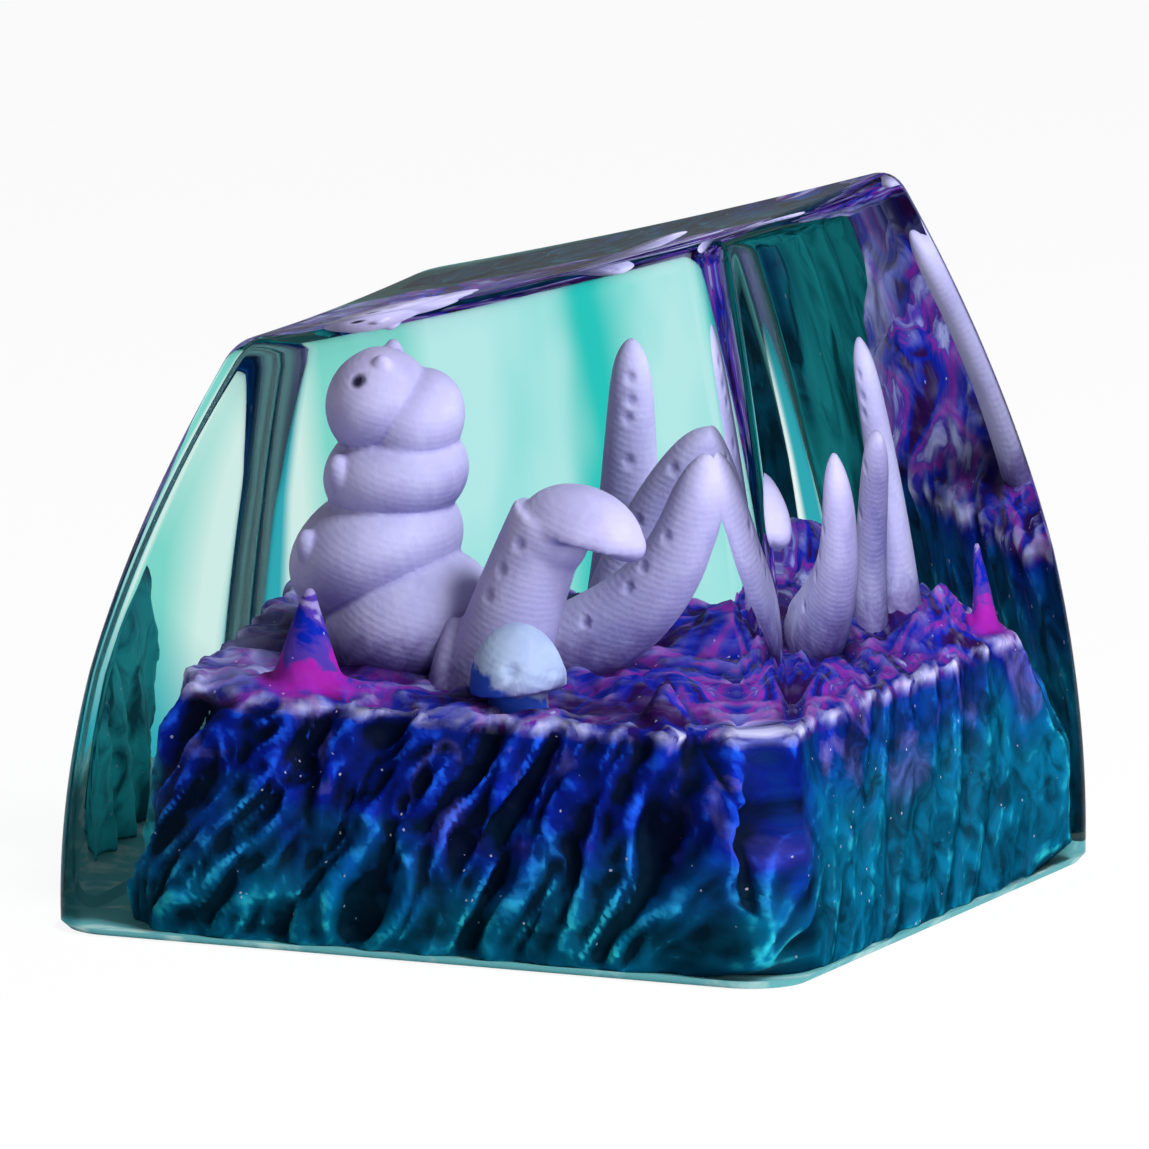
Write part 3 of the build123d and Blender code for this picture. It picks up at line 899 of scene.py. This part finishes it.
class KEYCAP_OT_mushrooms(bpy.types.Operator):
    """Model the toadstool and the button cap"""

    bl_idname = "keycap.mushrooms"
    bl_label = "Mushrooms"

    def execute(self, context):
        s = context.scene.keycap_figure
        self.toadstool(s)
        self.button(s)
        return {"FINISHED"}

    def toadstool(self, s):
        """A leaning stalk under a tilted hood with a shoulder and a nose, and a stub beside its foot."""
        x = ((toadstool_low + toadstool_high) / 2 / MM).x
        top = toadstool_high.z / MM
        stem = ((x, 0.1, GROUND - 0.4), (x, 0.75, GROUND + 1.8), (x, 1.5, top - 0.8))
        stub = ((x + 0.5, -0.8, GROUND - 0.4), (x + 0.3, -0.75, GROUND + 0.6), (x - 0.1, -0.65, GROUND + 1.2))
        stalk = tube(stem, (1.25, 1.05, 0.95))
        hood = dome((x, 2.25, top - 1.15), (1.1, 1.55, 1.1), -12)
        shoulder = ball((x, 1.5, top - 1.2), (1.0, 0.95, 0.85), -25)
        nose = ball((x, 3.15, top - 1.1), (0.7, 0.75, 0.42), -28)
        body = joined([stalk, hood, shoulder, nose, tube(stub, (0.5, 0.45, 0.3))])
        pits = ((x + 1, 0.5, 7.9), (x + 1, 1.0, 8.5), (x + 1, 0.2, 7.3))
        skin_figure(body, s, pits, rounds=18, radius=0.22, depth=0.07)
        paint_used = figure_material("lavender_acrylic", s.lavender, s)
        settle(body, "toadstool", paint_used, "lavender_figure", "tall_mushroom")

    def button(self, s):
        """A short stalk under a steep cap with a lobe on its side."""
        x, y, _ = (button_low + button_high) / 2 / MM
        stem = ((x, y, GROUND - 0.4), (x, y, GROUND + 0.4), (x, y, GROUND + 1.0))
        stalk = tube(stem, (0.75, 0.7, 0.6))
        cap = dome((x, y, GROUND + 0.35), (1.12, 1.16, 1.45), 8)
        lobe = ball((x + 0.1, y + 0.75, GROUND + 0.75), (0.6, 0.42, 0.35), -20)
        body = joined([stalk, cap, lobe])
        skin_figure(body, s, [(x + 1, y + 0.1, GROUND + 0.9)], rounds=10, radius=0.3, depth=0.08)
        paint_used = figure_material("pale_acrylic", s.pale, s, s.button_blue)
        settle(body, "button_cap", paint_used, "pale_figure", "button_mushroom")


class KEYCAP_OT_feelers(bpy.types.Operator):
    """Model the three feelers as thinning tubes with blunt tips and rows of pits"""

    bl_idname = "keycap.feelers"
    bl_label = "Feelers"

    # Points along each feeler with its radius there, then the pits in its skin
    FEELERS = {
        "tall_tentacle": (
            (-4.6, 1.25, 4.9, 0.95),
            (-4.6, 1.37, 6.4, 0.82),
            (-4.6, 1.4, 8.1, 0.68),
            (-4.6, 1.4, 9.8, 0.56),
            (-4.6, 1.38, 10.85, 0.42),
            (-4.6, 1.38, 11.1, 0.08),
        ),
        "bent_tentacle": (
            (-2.9, 1.2, 4.9, 0.75),
            (-2.95, 1.55, 6.2, 0.65),
            (-2.95, 2.1, 7.3, 0.6),
            (-2.9, 2.9, 8.6, 0.56),
            (-2.75, 3.7, 9.6, 0.45),
            (-2.7, 3.9, 9.8, 0.08),
        ),
        "thick_tentacle": (
            (0.1, 0.7, 5.1, 1.05),
            (0.2, 2.1, 5.9, 0.95),
            (0.3, 3.4, 6.8, 0.85),
            (0.3, 4.2, 8.3, 0.72),
            (0.3, 4.45, 9.6, 0.55),
            (0.3, 4.5, 10.0, 0.08),
        ),
    }
    PITS = {
        "tall_tentacle": ((-3.9, 1.5, 10.4), (-3.9, 1.6, 9.9), (-3.9, 1.5, 9.5), (-3.8, 1.6, 8.6)),
        "bent_tentacle": ((-2.3, 2.2, 7.8), (-2.3, 3.0, 9.0)),
        "thick_tentacle": ((1.0, 3.75, 8.3), (1.1, 3.2, 7.6), (1.1, 2.85, 7.15), (1.1, 1.9, 6.3)),
    }

    def execute(self, context):
        s = context.scene.keycap_figure
        paint_used = figure_material("lavender_acrylic", s.lavender, s)
        for name, stations in self.FEELERS.items():
            horn = tube([station[:3] for station in stations], [station[3] for station in stations])
            skin_figure(horn, s, self.PITS[name], rounds=4, radius=0.2, depth=0.06)
            settle(horn, name.replace("tentacle", "feeler"), paint_used, "lavender_figure", name)
        return {"FINISHED"}


class KEYCAP_OT_stage(bpy.types.Operator):
    """Set the floor, the soft lights and the camera"""

    bl_idname = "keycap.stage"
    bl_label = "Stage"

    # Soft boxes: place and side in metres, and the point that they face
    KEY_BOX = ((0.07, 0.19, 0.21), 0.09)
    FILL_BOX = ((0.14, 0.22, 0.06), 0.16)
    FACED = (0, 0, 0.007)
    SENSOR = 36.0

    def execute(self, context):
        s = context.scene.keycap_stage
        scene = context.scene
        scene.view_settings.view_transform = "Standard"
        bpy.ops.mesh.primitive_plane_add(size=2.0, location=(0, 0, -0.02 * MM))
        floor = context.object
        floor.name = "floor"
        material, add = blank_material("white_floor")
        diffuse = add("BsdfDiffuse", {"Color": linear(s.floor)})
        white = add("Emission", {"Color": linear(s.floor)})
        lift = add("Math", {0: self.seen(add), 1: s.floor_white}, operation="MULTIPLY")
        mixed = add("MixShader", {0: lift, 1: diffuse, 2: white})
        add("OutputMaterial", {"Surface": mixed})
        floor.data.materials.append(material)
        world = bpy.data.worlds.new("studio")
        world.use_nodes = True
        scene.world = world
        world.node_tree.nodes.clear()
        add = partial(node, world.node_tree)
        level = add("MapRange", {"Value": self.seen(add), "To Min": s.sky})
        sky = add("Background", {"Color": linear(s.floor), "Strength": level})
        add("OutputWorld", {"Surface": sky})
        self.lamp("key_light", *self.KEY_BOX, s.key)
        self.lamp("fill_light", *self.FILL_BOX, s.fill)
        self.camera(context, s)
        return {"FINISHED"}

    def seen(self, add):
        """1 for rays that show the background: from the camera, in reflections and through the resin."""
        rays = ("Is Camera Ray", "Is Glossy Ray", "Is Transmission Ray")
        camera, glossy, through = [add("LightPath", out=ray) for ray in rays]
        first = add("Math", {0: camera, 1: glossy}, operation="MAXIMUM")
        return add("Math", {0: first, 1: through}, operation="MAXIMUM")

    def lamp(self, name, place, side, power):
        """A square soft box that faces the block."""
        bpy.ops.object.light_add(type="AREA", location=place)
        lamp = bpy.context.object
        lamp.name = name
        lamp.data.size = side
        lamp.data.energy = power
        lamp.rotation_euler = (Vector(self.FACED) - Vector(place)).to_track_quat("-Z", "Y").to_euler()

    def camera(self, context, s):
        """A long lens at the photo's angle, framed by where the photo shows the bottom's middle."""
        bpy.ops.object.camera_add()
        camera = context.object
        level = cos(s.elevation)
        back = Vector((sin(s.azimuth) * level, -cos(s.azimuth) * level, sin(s.elevation)))
        turn = (-back).to_track_quat("-Z", "Y")
        right, up = turn @ Vector((1, 0, 0)), turn @ Vector((0, 1, 0))
        half = s.image_pixels / 2
        aim = right * (half - s.base_pixel[0]) + up * (s.base_pixel[1] - half)
        camera.location = aim / s.pixels_per_mm * MM + back * s.distance * MM
        camera.rotation_euler = turn.to_euler()
        camera.data.sensor_width = self.SENSOR
        camera.data.lens = self.SENSOR * s.pixels_per_mm * s.distance / s.image_pixels
        context.scene.camera = camera


class KEYCAP_PT_panel(bpy.types.Panel):
    """Lists the pieces of the key cap"""

    bl_label = "Key cap"
    bl_idname = "KEYCAP_PT_panel"
    bl_space_type = "VIEW_3D"
    bl_region_type = "UI"
    bl_category = "Key cap"

    def draw(self, context):
        for operator in OPERATORS:
            self.layout.operator(operator.bl_idname)


OPERATORS = (
    KEYCAP_OT_rock,
    KEYCAP_OT_grub,
    KEYCAP_OT_mushrooms,
    KEYCAP_OT_feelers,
    KEYCAP_OT_resin,
    KEYCAP_OT_stage,
)
SETTINGS = {
    "keycap_resin": ResinSettings,
    "keycap_rock": RockSettings,
    "keycap_figure": FigureSettings,
    "keycap_stage": StageSettings,
}


def register():
    for name, group in SETTINGS.items():
        bpy.utils.register_class(group)
        setattr(bpy.types.Scene, name, PointerProperty(type=group))
    for operator in OPERATORS:
        bpy.utils.register_class(operator)
    bpy.utils.register_class(KEYCAP_PT_panel)


def unregister():
    bpy.utils.unregister_class(KEYCAP_PT_panel)
    for operator in reversed(OPERATORS):
        bpy.utils.unregister_class(operator)
    for name, group in SETTINGS.items():
        delattr(bpy.types.Scene, name)
        bpy.utils.unregister_class(group)


def main():
    register()
    bpy.ops.keycap.rock()
    bpy.ops.keycap.grub()
    bpy.ops.keycap.mushrooms()
    bpy.ops.keycap.feelers()
    bpy.ops.keycap.resin()
    bpy.ops.keycap.stage()


if __name__ == "__main__":
    main()
